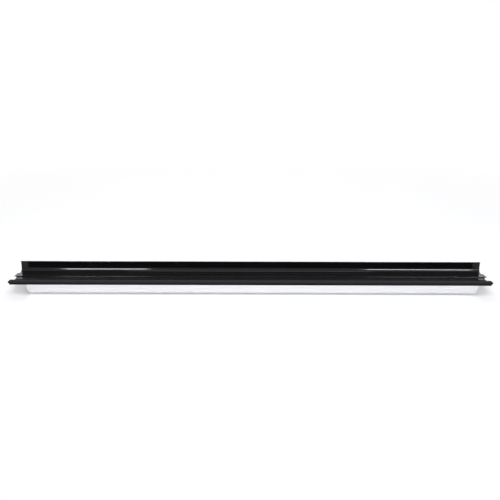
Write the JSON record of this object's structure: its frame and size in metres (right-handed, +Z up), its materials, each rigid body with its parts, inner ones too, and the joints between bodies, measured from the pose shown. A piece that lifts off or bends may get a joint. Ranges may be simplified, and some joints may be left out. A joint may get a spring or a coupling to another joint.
{
  "type": "running board",
  "caption": "Long vehicle side step: hollow black extrusion with a tall concave upstand, a tread insert, a silver curved fascia under the front lip, and bracket slots underneath",
  "frame": {"origin": "At mid length, on the flat underside that the brackets bear against, midway between the two bracket slots", "axes": "X along the board, its left end at -X when seen from the front; +Y towards the vehicle; +Z up, with the deck level as fitted"},
  "size_m": [1.834, 0.1827, 0.0943],
  "materials": {
    "black_coat": "smooth glossy black coating on aluminium",
    "tread_black": "satin, fine grip ribs along the rear pad",
    "silver": "satin anodised, fine lines along the length",
    "screw_steel": "plain zinc plated"
  },
  "bodies": {
    "root": {"step_extrusion": "black_coat", "tread_insert": "tread_black", "fascia": "silver", "fascia_screws": "screw_steel"}
  },
  "joints": []
}
